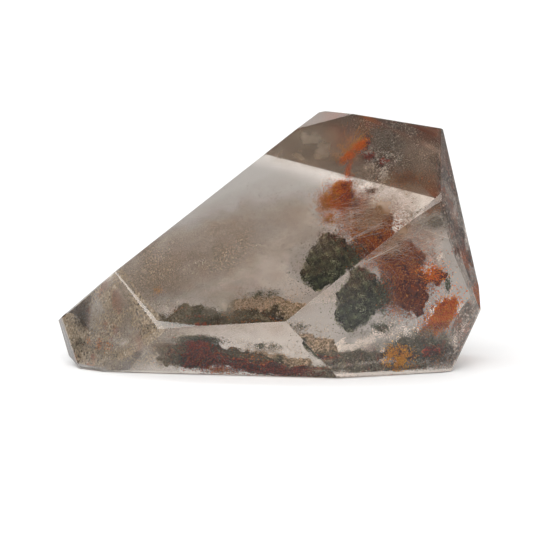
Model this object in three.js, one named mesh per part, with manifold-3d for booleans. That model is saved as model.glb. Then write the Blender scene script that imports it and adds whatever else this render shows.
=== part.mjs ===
// A polished freeform of clear quartz with a mineral garden grown into it.
//
// Millimetres, +Z up. The stone stands on its flat base at z = 0, the origin is the middle of the base's
// outline, and the face turned to the viewer looks along -Y. The quartz is parted by one leaning plane,
// so that each mineral inclusion lies in a pocket that opens where the two halves meet.

import * as THREE from 'three';
import { mergeVertices } from 'three/addons/utils/BufferGeometryUtils.js';
import Module from 'manifold-3d';

const wasm = await Module();
wasm.setup();

// Driving dimensions

const ROUGH = { width: 120, depth: 100, height: 70 }; // the rough block, its underside is the base
const CENTRE = new THREE.Vector3(-0.2, -1.7, 20); // every facet's reach is measured from here
const PARTING = { bearing: 180, rise: -17.7, reach: 13.7 };
const PARTING_GAP = 0.3; // between the two halves of the quartz
const POCKET_CLEARANCE = 0.4; // between an inclusion and the wall of its pocket
const RIPPLE = { depth: 0.06, waves: 3.1 }; // lumpiness of an inclusion, as a share of its radius
const LOBE_DETAIL = 2; // subdivision of a lobe's icosahedron

// Facets: bearing in degrees from -Y towards +X, rise in degrees above the horizontal, reach in mm.
const FACETS = {
  main_face: { bearing: -18.1, rise: 41.0, reach: 8.0 },
  right_face: { bearing: 22.0, rise: -2.4, reach: 20.2 },
  under_face: { bearing: -11.2, rise: -29.2, reach: 20.7 },
  left_face: { bearing: -43.5, rise: 13.4, reach: 21.3 },
  left_end: { bearing: -70.2, rise: -7.5, reach: 37.4 },
  right_strip: { bearing: 71.3, rise: 14.8, reach: 36.9 },
  lower_right_strip: { bearing: 41.2, rise: -12.6, reach: 31.4 },
  top_bevel: { bearing: -41.7, rise: 65.8, reach: 18.5 },
  upper_left_wall: { bearing: -101.3, rise: 50.4, reach: 17.3 },
  top_wall: { bearing: 133.7, rise: 73.2, reach: 32.6 },
  right_wall: { bearing: 94.8, rise: 12.2, reach: 38.9 },
  right_tip: { bearing: 94.3, rise: 0.6, reach: 40.7 },
  right_wall_low: { bearing: 93.2, rise: -25.7, reach: 40.5 },
  back_face: { bearing: -173.9, rise: -12.9, reach: 18.6 },
  upper_back_left: { bearing: 170.4, rise: 26.3, reach: 27.2 },
  upper_back_right: { bearing: 153.4, rise: 35.3, reach: 31.7 },
  left_back: { bearing: -126.8, rise: -30.1, reach: 37.9 },
  left_toe: { bearing: -99.4, rise: -63.7, reach: 33.7 },
  ridge_sliver: { bearing: 8.9, rise: 19.0, reach: 17.6 },
  left_edge_bevel: { bearing: -29.1, rise: 30.9, reach: 13.6 },
  corner_bevel: { bearing: -19.1, rise: 31.2, reach: 11.4 },
};

// Inclusions: each is a cluster of rounded lobes, with centre and radii in mm and a lean in degrees
// about the Y axis, clockwise as the viewer sees it.
const INCLUSIONS = {
  chlorite_clump: [
    { centre: [13.0, 9.2, 12.1], radii: [4.8, 4.6, 6.3], lean: 0 },
    { centre: [14.2, 9.5, 16.7], radii: [3.7, 3.9, 3.6], lean: 0 },
    { centre: [16.8, 9.4, 13.2], radii: [3.1, 3.4, 3.8], lean: 0 },
  ],
  rust_cloud: [
    { centre: [25.0, 9.6, 14.5], radii: [3.9, 4.3, 5.0], lean: 0 },
    { centre: [23.2, 13.1, 20.0], radii: [4.3, 3.9, 4.4], lean: 0 },
    { centre: [29.6, 11.2, 17.2], radii: [2.9, 3.0, 1.9], lean: 0 },
    { centre: [20.6, 9.4, 22.2], radii: [3.0, 2.6, 2.7], lean: 0 },
  ],
  orange_plume: [{ centre: [16.3, 15.6, 26.6], radii: [3.6, 3.1, 3.8], lean: 20 }],
  orange_flake: [{ centre: [31.2, 11.0, 9.6], radii: [2.3, 2.6, 5.3], lean: 38 }],
  garden_bed: [
    { centre: [-13.0, -2.8, 5.5], radii: [6.6, 6.2, 4.4], lean: 0 },
    { centre: [-2.6, -2.0, 4.3], radii: [9.4, 6.0, 3.1], lean: 9 },
    { centre: [0.6, 5.0, 5.2], radii: [8.0, 4.6, 3.2], lean: 0 },
    { centre: [12.2, -1.6, 2.8], radii: [10.0, 6.4, 1.9], lean: 0 },
    { centre: [27.9, -1.2, 4.0], radii: [8.0, 7.6, 3.1], lean: 0 },
    { centre: [-18.2, -3.2, 4.8], radii: [3.4, 4.6, 3.1], lean: 0 },
    { centre: [7.4, 3.6, 4.5], radii: [3.8, 3.8, 2.5], lean: 0 },
  ],
  brown_dust: [{ centre: [-9.2, 9.2, 19.4], radii: [16.0, 4.4, 4.3], lean: -29 }],
  left_dust: [{ centre: [-29.6, 4.2, 6.6], radii: [5.9, 5.6, 4.4], lean: -18 }],
};

const material = (color, roughness) =>
  new THREE.MeshStandardMaterial({ color, roughness, metalness: 0 });
const clearMaterial = (color, roughness) => new THREE.MeshStandardMaterial({
  color, roughness, metalness: 0, transparent: true, opacity: 0.35,
});

const MATERIALS = {
  quartz: clearMaterial(0xb9b1a6, 0.03),
  chlorite_clump: material(0x4b5140, 0.9),
  rust_cloud: material(0x7a4426, 0.9),
  orange_plume: material(0xa8551c, 0.8),
  orange_flake: material(0xb4501a, 0.7),
  garden_bed: material(0x574a38, 0.95),
  brown_dust: clearMaterial(0x8c7658, 0.9),
  left_dust: clearMaterial(0x7a6e58, 0.9),
};

// Solids

/** A closed solid from a geometry, with its shared vertices merged. */
function solidOf(geometry) {
  const bare = geometry.clone();
  bare.deleteAttribute('normal');
  bare.deleteAttribute('uv');
  const merged = mergeVertices(bare, 1e-4);
  return new wasm.Manifold(new wasm.Mesh({
    numProp: 3,
    vertProperties: new Float32Array(merged.attributes.position.array),
    triVerts: new Uint32Array(merged.index.array),
  }));
}

/** A named mesh from a closed solid. */
function meshOf(name, solid, finish) {
  const { numProp, vertProperties, triVerts } = solid.getMesh();
  const geometry = new THREE.BufferGeometry();
  const corners = new THREE.InterleavedBuffer(vertProperties, numProp);
  geometry.setAttribute('position', new THREE.InterleavedBufferAttribute(corners, 3, 0));
  geometry.setIndex(new THREE.BufferAttribute(triVerts, 1));
  const mesh = new THREE.Mesh(geometry.toNonIndexed(), finish);
  mesh.geometry.computeVertexNormals();
  mesh.name = name;
  return mesh;
}

/** The outward direction of a facet from its bearing and rise. */
function outward({ bearing, rise }) {
  const turn = THREE.MathUtils.degToRad(bearing);
  const lift = THREE.MathUtils.degToRad(rise);
  return new THREE.Vector3(
    Math.sin(turn) * Math.cos(lift), -Math.cos(turn) * Math.cos(lift), Math.sin(lift));
}

/** Everything beyond a facet's plane, as a large block; shift moves the plane outwards. */
function beyond(facet, shift = 0) {
  const side = 2 * ROUGH.width;
  const direction = outward(facet);
  const block = new THREE.BoxGeometry(side, side, side);
  const turn = new THREE.Quaternion().setFromUnitVectors(new THREE.Vector3(0, 0, 1), direction);
  const middle = direction.clone().multiplyScalar(facet.reach + shift + side / 2).add(CENTRE);
  return solidOf(block.applyQuaternion(turn).translate(middle.x, middle.y, middle.z));
}

/** The whole stone: the rough block with each facet ground into it. */
function groundStone() {
  const rough = new THREE.BoxGeometry(ROUGH.width, ROUGH.depth, ROUGH.height);
  rough.translate(0, 0, ROUGH.height / 2);
  return Object.values(FACETS).reduce((stone, facet) => stone.subtract(beyond(facet)), solidOf(rough));
}

/** One rounded lobe with a lumpy surface, larger all round by the given growth. */
function lobeSolid({ centre, radii, lean }, growth) {
  const ball = new THREE.IcosahedronGeometry(1, LOBE_DETAIL);
  const place = ball.attributes.position;
  const point = new THREE.Vector3();
  for (let i = 0; i < place.count; i += 1) {
    point.fromBufferAttribute(place, i).normalize();
    const wave = RIPPLE.waves;
    const ripple = Math.sin(wave * point.x + centre[0]) * Math.cos(wave * point.y + centre[2])
      + Math.sin(2 * wave * point.z + centre[0] - centre[2]) / 2;
    point.multiplyScalar(1 - RIPPLE.depth * (1 + ripple));
    place.setXYZ(i, point.x, point.y, point.z);
  }
  ball.scale(radii[0] + growth, radii[1] + growth, radii[2] + growth);
  ball.rotateY(THREE.MathUtils.degToRad(lean));
  ball.translate(...centre);
  return solidOf(ball);
}

/** An inclusion's lobes grown into one lump. */
function lumpSolid(lobes, growth = 0) {
  return lobes.map((lobe) => lobeSolid(lobe, growth)).reduce((lump, lobe) => lump.add(lobe));
}

// The model

/** The clear stone with a pocket for each inclusion. */
function pocketedStone() {
  return Object.values(INCLUSIONS).reduce(
    (stone, lobes) => stone.subtract(lumpSolid(lobes, POCKET_CLEARANCE)), groundStone());
}

/** The half of the stone in front of the parting plane, which the viewer faces. */
function frontHalf(stone) {
  return stone.subtract(beyond(PARTING, -PARTING_GAP / 2));
}

/** The half of the stone behind the parting plane. */
function backHalf(stone) {
  return stone.intersect(beyond(PARTING, PARTING_GAP / 2));
}

const clear = pocketedStone();
const part = new THREE.Group();
part.add(meshOf('quartz_front', frontHalf(clear), MATERIALS.quartz));
part.add(meshOf('quartz_back', backHalf(clear), MATERIALS.quartz.clone()));
for (const [name, lobes] of Object.entries(INCLUSIONS)) {
  part.add(meshOf(name, lumpSolid(lobes), MATERIALS[name]));
}

// Stand the stone with the middle of its outline over the origin.
const outline = new THREE.Box3().setFromObject(part);
const middle = outline.getCenter(new THREE.Vector3());
part.position.set(-middle.x, -middle.y, 0);

export default part;
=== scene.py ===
"""Garden quartz: a polished freeform of clear quartz with a mineral garden grown into it.

The clear stone is the convex body of its two halves, the inclusions are grown from their own solids as
crumbs, plates and needles, and fine dust, fibres and healed cracks lie loose in the quartz between them.
Places and sizes are in millimetres in the frame of the part, and become metres when a mesh is made.
"""

import logging
import math
from collections.abc import Callable
from dataclasses import dataclass, field
from enum import Enum
from typing import ClassVar

import bmesh
import bpy
import numpy as np
from bmesh.types import BMEdge, BMesh, BMVert
from mathutils import Matrix, Vector
from mathutils.bvhtree import BVHTree


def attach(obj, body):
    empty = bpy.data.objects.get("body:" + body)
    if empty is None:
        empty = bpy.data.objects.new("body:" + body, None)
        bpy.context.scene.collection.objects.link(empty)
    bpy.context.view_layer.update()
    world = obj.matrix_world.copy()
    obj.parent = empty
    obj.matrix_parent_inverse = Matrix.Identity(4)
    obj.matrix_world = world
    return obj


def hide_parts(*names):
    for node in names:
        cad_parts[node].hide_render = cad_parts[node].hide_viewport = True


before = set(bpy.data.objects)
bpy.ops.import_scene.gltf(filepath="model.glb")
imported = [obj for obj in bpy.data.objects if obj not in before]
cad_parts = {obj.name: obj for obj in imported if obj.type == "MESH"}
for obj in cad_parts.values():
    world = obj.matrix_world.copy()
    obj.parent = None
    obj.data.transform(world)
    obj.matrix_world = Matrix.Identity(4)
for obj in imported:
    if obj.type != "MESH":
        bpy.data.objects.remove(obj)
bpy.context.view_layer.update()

LOG = logging.getLogger("garden_quartz")
MM = 0.001
BODY = "root"
TINT = "tint"  # a grain's place on its finish's range of colours, 0 to 1
FADE = "fade"  # how much of a veil is left at a place, 0 to 1
DULL = "dull"  # 1 on a facet that was ground but hardly polished, 0 elsewhere

Colour = tuple[float, float, float, float]
Place = tuple[float, float, float]
Span = tuple[float, float]  # the lowest and the highest value
Screen = tuple[int, int, int]  # red, green and blue as a screen shows them, 0 to 255
Stop = tuple[float, int, int, int]  # a place on a range of colours, and what a screen shows there
Array = np.ndarray
Arrays = tuple[Array, Array]
Skin = Callable[[Array], Array]  # how deep a skin lies at each place
Draws = np.random.Generator  # a source of random draws


def tone(red: int, green: int, blue: int) -> Colour:
    """A linear colour from what a screen shows, by the screen's usual curve.

    Args:
        red: its red, 0 to 255.
        green: its green, 0 to 255.
        blue: its blue, 0 to 255.

    Returns:
        The colour, opaque.
    """
    shares = (value / 255 for value in (red, green, blue))
    return (*(share / 12.92 if share <= 0.04045 else ((share + 0.055) / 1.055) ** 2.4
              for share in shares), 1.0)


# Shader building


class Signal:
    """A value on a node's output socket, with arithmetic that adds Math nodes."""

    def __init__(self, graph: "Graph", socket: bpy.types.NodeSocket) -> None:
        """Wraps an output socket of a material's graph."""
        self.graph = graph
        self.socket = socket

    def _math(self, operation: str, first: "Signal | float", second: "Signal | float") -> "Signal":
        """One Math node on two values."""
        return self.graph.add("ShaderNodeMath", {"operation": operation}, {0: first, 1: second})

    def __add__(self, other: "Signal | float") -> "Signal":
        """The sum."""
        return self._math("ADD", self, other)

    def __sub__(self, other: "Signal | float") -> "Signal":
        """The difference."""
        return self._math("SUBTRACT", self, other)

    def __rsub__(self, other: float) -> "Signal":
        """A number less this value."""
        return self._math("SUBTRACT", other, self)

    def __mul__(self, other: "Signal | float") -> "Signal":
        """The product."""
        return self._math("MULTIPLY", self, other)

    __radd__ = __add__
    __rmul__ = __mul__

    def between(self, low: float, high: float) -> "Signal":
        """0 up to low and 1 from high, with a soft rise between them."""
        return self.graph.add("ShaderNodeMapRange", {"interpolation_type": "SMOOTHSTEP"},
                              {"Value": self, "From Min": low, "From Max": high})


class Graph:
    """A material's node tree, emptied and ready to be built up."""

    def __init__(self, name: str) -> None:
        """Makes the material with nothing but its output.

        Args:
            name: the material's name.
        """
        self.material = bpy.data.materials.new(name)
        self.material.use_nodes = True
        self.tree = self.material.node_tree
        self.tree.nodes.clear()
        self.output = self.tree.nodes.new("ShaderNodeOutputMaterial")

    def add(self, kind: str, settings: dict | None = None, inputs: dict | None = None,
            output: int | str = 0) -> Signal:
        """One node, with its settings made first and its sockets filled after.

        Args:
            kind: the node's type.
            settings: properties of the node; stops fills a colour ramp.
            inputs: a number, colour, vector or Signal for each socket, by name or place.
            output: the output that the returned Signal carries.

        Returns:
            The node's output.
        """
        node = self.tree.nodes.new(kind)
        for key, value in (settings or {}).items():
            if key == "stops":
                self._fill_ramp(node, value)
            else:
                setattr(node, key, value)
        for key, value in (inputs or {}).items():
            self.feed(node.inputs[key], value)
        return Signal(self, node.outputs[output])

    def feed(self, socket: bpy.types.NodeSocket, value: "Signal | float | tuple") -> None:
        """Links a Signal to a socket, or sets the socket's own value.

        Args:
            socket: the input.
            value: what it gets.
        """
        if isinstance(value, Signal):
            self.tree.links.new(value.socket, socket)
        else:
            socket.default_value = value

    def surface(self, **inputs: "Signal | float | tuple") -> None:
        """A Principled surface on the output; underscores in a name stand for spaces.

        Args:
            inputs: what its sockets hold, as in Base_Color.
        """
        named = {key.replace("_", " "): value for key, value in inputs.items()}
        shader = self.add("ShaderNodeBsdfPrincipled", None, named)
        self.feed(self.output.inputs["Surface"], shader)

    def object_noise(self, size: float, detail: float = 2.0) -> Signal:
        """Noise on the object's coordinates, with features of about the given size in mm."""
        return self.add("ShaderNodeTexNoise", None, {
            "Vector": self.add("ShaderNodeTexCoord", output="Object"), "Scale": 1 / (size * MM),
            "Detail": detail})

    def attribute(self, name: str) -> Signal:
        """A piece's own attribute, as a number."""
        return self.add("ShaderNodeAttribute", {"attribute_name": name}, output="Fac")

    def mix(self, share: "Signal | float", first: "Signal | Colour", second: "Signal | Colour") -> Signal:
        """One colour that goes over into a second as the share rises from 0 to 1."""
        return self.add("ShaderNodeMix", {"data_type": "RGBA"}, {0: share, 6: first, 7: second}, output=2)

    def ramp(self, stops: tuple[Stop, ...], share: Signal) -> Signal:
        """The colour at a share of a range of colours."""
        return self.add("ShaderNodeValToRGB", {"stops": stops}, {"Fac": share})

    @staticmethod
    def _fill_ramp(node: bpy.types.Node, stops: tuple[Stop, ...]) -> None:
        """Gives a colour ramp its stops.

        Args:
            node: the ramp.
            stops: its stops, in order.
        """
        elements = node.color_ramp.elements
        while len(elements) < len(stops):
            elements.new(1.0)
        for element, (place, *colour) in zip(elements, stops):
            element.position = place
            element.color = tone(*colour)


# Finishes


@dataclass(frozen=True)
class QuartzFinish:
    """Clear, faintly smoky quartz with a hand polish."""

    name: str = "clear_quartz"
    tint: Colour = (0.985, 0.98, 0.972, 1.0)
    ior: float = 1.544
    smoke: Colour = (0.875, 0.77, 0.675, 1.0)  # what the quartz lets through
    smoke_per_metre: float = 40.0
    polish: float = 0.004
    wear: float = 0.03
    wear_size: float = 9.0
    wear_span: Span = (0.52, 0.8)  # the noise at which the wear begins and is strongest
    dullness: float = 0.22  # added on the facets that were hardly polished

    def build(self) -> bpy.types.Material:
        """Lays out plain transmission with a constant absorption inside.

        Returns:
            The material.
        """
        graph = Graph(self.name)
        worn = graph.object_noise(self.wear_size, detail=4.0).between(*self.wear_span)
        gloss = self.polish + worn * self.wear + graph.attribute(DULL) * self.dullness
        graph.surface(Base_Color=self.tint, Roughness=gloss, IOR=self.ior, Transmission_Weight=1.0)
        inside = graph.add("ShaderNodeVolumeAbsorption", None,
                           {"Color": self.smoke, "Density": self.smoke_per_metre})
        graph.feed(graph.output.inputs["Volume"], inside)
        return graph.material


@dataclass(frozen=True)
class GrainFinish:
    """Mineral grains: a range of colours that each grain takes its own from."""

    reads: ClassVar[str] = TINT

    name: str
    stops: tuple[Stop, ...]
    roughness: float = 0.7
    unevenness: float = 0.3  # of the roughness
    sheen: float = 0.1  # low, because quartz lies against the grains
    mottle: float = 0.35
    mottle_size: float = 0.5
    grit: float = 0.7
    grit_size: float = 0.4

    def build(self) -> bpy.types.Material:
        """Colours each grain by its tint, and mottles and roughens it by noise.

        Returns:
            The material.
        """
        graph = Graph(self.name)
        mottle = graph.object_noise(self.mottle_size, detail=3.0) - 0.5
        colour = graph.ramp(self.stops, graph.attribute(self.reads) + mottle * self.mottle)
        bump = graph.add("ShaderNodeBump", None, {
            "Strength": self.grit, "Distance": self.grit_size * MM,
            "Height": graph.object_noise(self.grit_size)})
        graph.surface(Base_Color=colour, Roughness=self.roughness + mottle * self.unevenness,
                      Specular_IOR_Level=self.sheen, Normal=bump)
        return graph.material


@dataclass(frozen=True)
class VeilFinish:
    """A thin healed crack or breath of dust, seen as a torn, see-through film."""

    reads: ClassVar[str] = FADE

    name: str
    colour: Screen
    deep: Screen
    cover: float = 0.5
    patch_size: float = 3.0
    patch_span: Span = (0.35, 0.75)  # the noise at which a patch begins and is thickest
    grain_size: float = 0.35
    grain_span: Span = (0.35, 0.7)
    thinnest: float = 0.45  # what is left of the film between its grains
    roughness: float = 0.8

    def build(self) -> bpy.types.Material:
        """Lays patches of fine grain on the film, which fades out at its edge.

        Returns:
            The material.
        """
        graph = Graph(self.name)
        patch = graph.object_noise(self.patch_size, detail=5.0).between(*self.patch_span)
        grain = graph.object_noise(self.grain_size, detail=3.0).between(*self.grain_span)
        film = self.thinnest + grain * (1 - self.thinnest)
        colour = graph.mix(grain, tone(*self.deep), tone(*self.colour))
        graph.surface(Base_Color=colour, Roughness=self.roughness,
                      Alpha=graph.attribute(self.reads) * patch * film * self.cover)
        return graph.material


@dataclass(frozen=True)
class SpeckleFinish:
    """Crumbs caught on one plane below the skin: fine specks, dark to pale, with rusty patches."""

    reads: ClassVar[str] = FADE

    name: str
    stops: tuple[Stop, ...]
    rust: Screen
    cover: float = 0.8
    speck_size: float = 0.5
    patch_size: float = 5.0
    patch_span: Span = (0.3, 0.65)  # the noise at which a patch begins and is thickest
    thinnest: float = 0.3  # what is left of the film between its patches
    rust_size: float = 0.8  # of a rusty patch, as a share of a patch's
    rust_span: Span = (0.52, 0.62)
    rusting: Span = (0.3, 0.6)  # the specks that rust first and last
    roughness: float = 0.6
    unevenness: float = 0.3

    def build(self) -> bpy.types.Material:
        """Colours the specks one by one, on a film that thins out between its patches.

        Returns:
            The material.
        """
        graph = Graph(self.name)
        speck = graph.object_noise(self.speck_size)
        patch = graph.object_noise(self.patch_size, detail=4.0).between(*self.patch_span)
        rust = graph.object_noise(self.patch_size * self.rust_size, detail=3.0).between(*self.rust_span)
        colour = graph.mix(rust * speck.between(*self.rusting), graph.ramp(self.stops, speck),
                           tone(*self.rust))
        film = self.thinnest + patch * (1 - self.thinnest)
        graph.surface(Base_Color=colour, Roughness=self.roughness + speck * self.unevenness,
                      Alpha=graph.attribute(self.reads) * film * self.cover)
        return graph.material


@dataclass(frozen=True)
class Shade:
    """An ellipse of painted shade on the studio floor: greyer paper that stands in for a shadow."""

    centre: Place
    radii: Place
    depth: float  # how much of the shade it takes on
    rim: Span = (0.72, 1.0)  # where it fades out, as shares of its radii

    def outside(self, graph: Graph, place: Signal) -> Signal:
        """A signal that is 1 outside the ellipse and falls by its depth inside.

        Args:
            graph: the paper's graph.
            place: the place on the paper, in metres.

        Returns:
            The signal.
        """
        for operation, sizes in (("SUBTRACT", self.centre), ("DIVIDE", self.radii)):
            place = graph.add("ShaderNodeVectorMath", {"operation": operation},
                              {0: place, 1: tuple(size * MM for size in sizes)})
        away = graph.add("ShaderNodeVectorMath", {"operation": "LENGTH"}, {0: place}, output="Value")
        return away.between(*self.rim) * self.depth + (1.0 - self.depth)


@dataclass(frozen=True)
class StageFinish:
    """White paper with painted shade: grey ellipses stand in for shadows on the floor, and the wall is
    painted grey.
    """

    name: str = "studio_paper"
    colour: Colour = (0.93, 0.93, 0.93, 1.0)
    shade: Colour = (0.44, 0.44, 0.44, 1.0)
    # painted shadows on the floor: behind the stone, beside it and far behind it
    shades: tuple[Shade, ...] = (
        Shade((3, 60, 0), (38, 54, 50), 1.0), Shade((150, -60, 0), (92, 130, 50), 0.7),
        Shade((-150, -60, 0), (92, 130, 50), 0.7), Shade((9, 190, 0), (28, 90, 50), 0.6),
        Shade((23, 340, 0), (21, 120, 50), 0.6))
    floor_end: Span = (0.001, 0.006)  # metres above the floor, where the paper becomes the wall
    # the wall is painted grey as shade, darker low down and lighter higher up
    wall_low: Colour = (0.30, 0.30, 0.30, 1.0)
    wall_high: Colour = (0.42, 0.42, 0.42, 1.0)
    wall_span: Span = (0.06, 0.3)  # metres above the floor, where the wall's painted shade grows lighter
    roughness: float = 0.85
    fibre: float = 0.1  # how far the paper's fibre changes the roughness
    fibre_size: float = 40.0

    def build(self) -> bpy.types.Material:
        """Lays out matt paper, greyer inside the shaded ellipses and on the wall, as painted shade.

        Returns:
            The material.
        """
        graph = Graph(self.name)
        fibre = graph.object_noise(self.fibre_size) - 0.5
        place = graph.add("ShaderNodeTexCoord", output="Object")
        light = 1.0
        # the painted shadows darken the paper inside each ellipse
        for shade in self.shades:
            light = shade.outside(graph, place) * light
        height = graph.add("ShaderNodeSeparateXYZ", None, {0: place}, output="Z")
        floor = graph.mix(light, self.shade, self.colour)
        wall = graph.mix(height.between(*self.wall_span), self.wall_low, self.wall_high)
        graph.surface(Base_Color=graph.mix(height.between(*self.floor_end), floor, wall),
                      Roughness=self.roughness + fibre * self.fibre)
        return graph.material


# Fields and forms


RIPPLE_WAVES = 9
RIPPLE_PITCHES = (0.7, 1.9)  # how many half waves go into a feature
RIPPLE_GAIN = 2.2  # brings the mean of the waves to about -1 to 1


def ripples(points: Array, size: float, seed: int) -> Array:
    """A smooth random field, about -1 to 1, with features of the given size.

    Args:
        points: places in mm, one a row.
        size: the width of a feature in mm.
        seed: the field's own number.

    Returns:
        The field's value at each place.
    """
    rng = np.random.default_rng(seed)
    waves = rng.normal(size=(RIPPLE_WAVES, 3))
    lengths = np.linalg.norm(waves, axis=1)
    waves *= (rng.uniform(*RIPPLE_PITCHES, RIPPLE_WAVES) * math.pi / size / lengths)[:, None]
    shifts = rng.uniform(0, 2 * math.pi, RIPPLE_WAVES)
    return np.sin(points @ waves.T + shifts).mean(axis=1) * RIPPLE_GAIN


def random_turns(count: int, rng: Draws) -> Array:
    """Random turns, all equally likely.

    Args:
        count: how many.
        rng: the source of the turns.

    Returns:
        The turns, as 3 by 3 matrices.
    """
    quaternions = rng.normal(size=(4, count))
    w, x, y, z = quaternions / np.linalg.norm(quaternions, axis=0)
    return np.stack([
        np.stack([1 - 2 * (y * y + z * z), 2 * (x * y - z * w), 2 * (x * z + y * w)], -1),
        np.stack([2 * (x * y + z * w), 1 - 2 * (x * x + z * z), 2 * (y * z - x * w)], -1),
        np.stack([2 * (x * z - y * w), 2 * (y * z + x * w), 1 - 2 * (x * x + y * y)], -1)], -2)


def arrays_of(mesh: BMesh) -> Arrays:
    """A bmesh as arrays; the bmesh is freed.

    Args:
        mesh: the bmesh.

    Returns:
        Its points and its triangles.
    """
    bmesh.ops.triangulate(mesh, faces=mesh.faces[:])
    mesh.verts.index_update()
    points = np.array([vert.co for vert in mesh.verts])
    faces = np.array([[vert.index for vert in face.verts] for face in mesh.faces])
    mesh.free()
    return points, faces


def only(items: list, kind: type) -> list:
    """The items of one kind among those that an operator gives back."""
    return [item for item in items if isinstance(item, kind)]


def mesh_of(name: str, body: BMesh, material: bpy.types.Material) -> bpy.types.Mesh:
    """A mesh from a bmesh in mm; the bmesh is freed.

    Args:
        name: the mesh's name.
        body: the bmesh.
        material: its material.

    Returns:
        The mesh, in metres.
    """
    bmesh.ops.scale(body, vec=(MM, MM, MM), verts=body.verts[:])
    mesh = bpy.data.meshes.new(name)
    body.to_mesh(mesh)
    body.free()
    mesh.materials.append(material)
    return mesh


def new_object(name: str, data: bpy.types.ID) -> bpy.types.Object:
    """A new object in the scene.

    Args:
        name: the object's name.
        data: its mesh, camera or light.

    Returns:
        The object.
    """
    made = bpy.data.objects.new(name, data)
    bpy.context.scene.collection.objects.link(made)
    return made


class GrainShape(Enum):
    """How a grain is stretched: length, breadth and thickness as shares of its size."""

    CRUMB = (1.0, 0.8, 0.65)
    PLATE = (1.0, 0.75, 0.14)
    NEEDLE = (2.6, 0.16, 0.16)


CRUMB, PLATE, NEEDLE = GrainShape


@dataclass
class Stock:
    """Shapes gathered for one joined mesh, in mm, with the random draws that lay them."""

    seed: int
    points: list[Array] = field(default_factory=list)
    faces: list[Array] = field(default_factory=list)
    values: list[Array] = field(default_factory=list)
    count: int = 0
    tiny: float = 0.305  # grains that are all shorter than this have four sides

    def __post_init__(self) -> None:
        """Starts the random draws from the seed."""
        self.rng = np.random.default_rng(self.seed)

    def add(self, points: Array, faces: Array, values: Array) -> None:
        """Takes in one shape; points that no face uses are dropped.

        Args:
            points: its points.
            faces: its triangles.
            values: the value of the finish's attribute at each point.
        """
        used, places = np.unique(faces, return_inverse=True)
        self.points.append(points[used])
        self.faces.append(places.reshape(faces.shape) + self.count)
        self.values.append(values[used])
        self.count += len(used)

    def add_grains(self, places: Array, sizes: Array, tints: Array, shape: GrainShape,
                   turns: Array | None = None) -> None:
        """Takes in one small grain at each place: eight-sided, or four-sided where all are tiny.

        Args:
            places: the grains' centres.
            sizes: their lengths.
            tints: their places in the range of colours.
            shape: how they are stretched.
            turns: their turns, as matrices; without them they are turned at random.
        """
        crystal = bmesh.new()
        if sizes.max(initial=0.0) < self.tiny:
            bmesh.ops.create_cone(crystal, cap_ends=True, segments=3, radius1=0.5, radius2=0, depth=0.8)
        else:
            bmesh.ops.create_uvsphere(crystal, u_segments=4, v_segments=2, radius=0.5)
        corners, faces = arrays_of(crystal)
        corners = corners * shape.value
        turns = random_turns(len(places), self.rng) if turns is None else turns
        spread = np.einsum("nij,kj->nki", turns, corners) * sizes[:, None, None]
        points = (places[:, None, :] + spread).reshape(-1, 3)
        steps = np.arange(len(places))[:, None, None] * len(corners)
        self.add(points, (faces[None] + steps).reshape(-1, 3), np.repeat(tints, len(corners)))

    def build(self, name: str, finish: "GrainFinish | VeilFinish | SpeckleFinish",
              slot: str) -> bpy.types.Object:
        """The joined mesh as one piece that rides on the stone.

        Args:
            name: the piece's name.
            finish: what it is dressed in; it reads the values.
            slot: the record's material slot; not used.

        Returns:
            The piece.
        """
        points = np.concatenate(self.points) * MM
        mesh = bpy.data.meshes.new(name)
        mesh.from_pydata(points.tolist(), [], np.concatenate(self.faces).tolist())
        kept = mesh.attributes.new(finish.reads, "FLOAT", "POINT")
        kept.data.foreach_set("value", np.concatenate(self.values).astype(np.float32))
        mesh.materials.append(finish.build())
        piece = new_object(name, mesh)
        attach(piece, BODY)
        LOG.info("%s: %d triangles", name, len(mesh.polygons))
        return piece


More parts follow.
